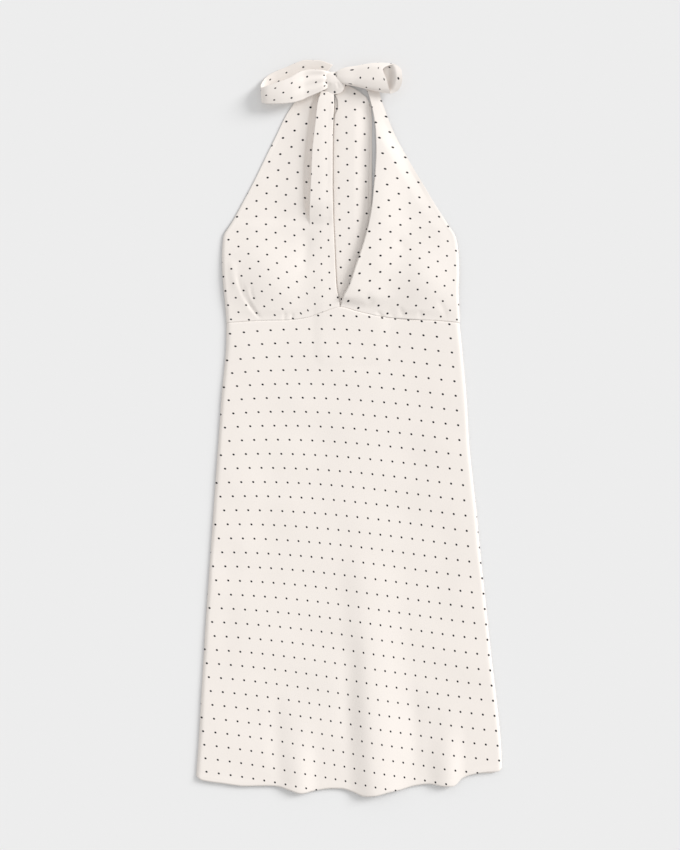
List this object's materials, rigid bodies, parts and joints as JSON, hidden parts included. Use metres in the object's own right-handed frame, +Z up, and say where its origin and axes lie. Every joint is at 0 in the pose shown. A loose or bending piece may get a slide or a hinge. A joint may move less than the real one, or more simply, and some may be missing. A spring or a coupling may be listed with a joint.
{
  "type": "halter dress",
  "caption": "Midi halter dress in cream crepe with small dark dots, a deep V neck and a bow at the neck, laid flat.",
  "frame": {"origin": "middle of the bottom of the bounding box, on the surface the dress lies on", "axes": "+X to the right in the picture, +Y from the hem to the bow, +Z up from the surface"},
  "size_m": [0.5198, 1.252, 0.025],
  "materials": {
    "dotted_crepe": "matt crepe with small near-black dots"
  },
  "bodies": {
    "root": {"front_skirt": "dotted_crepe", "back_skirt": "dotted_crepe", "front_bodice_left": "dotted_crepe", "front_bodice_right": "dotted_crepe", "back_bodice": "dotted_crepe", "tail_left": "dotted_crepe", "tail_right": "dotted_crepe", "loop_left": "dotted_crepe", "loop_right": "dotted_crepe", "tie_knot": "dotted_crepe"}
  },
  "joints": []
}
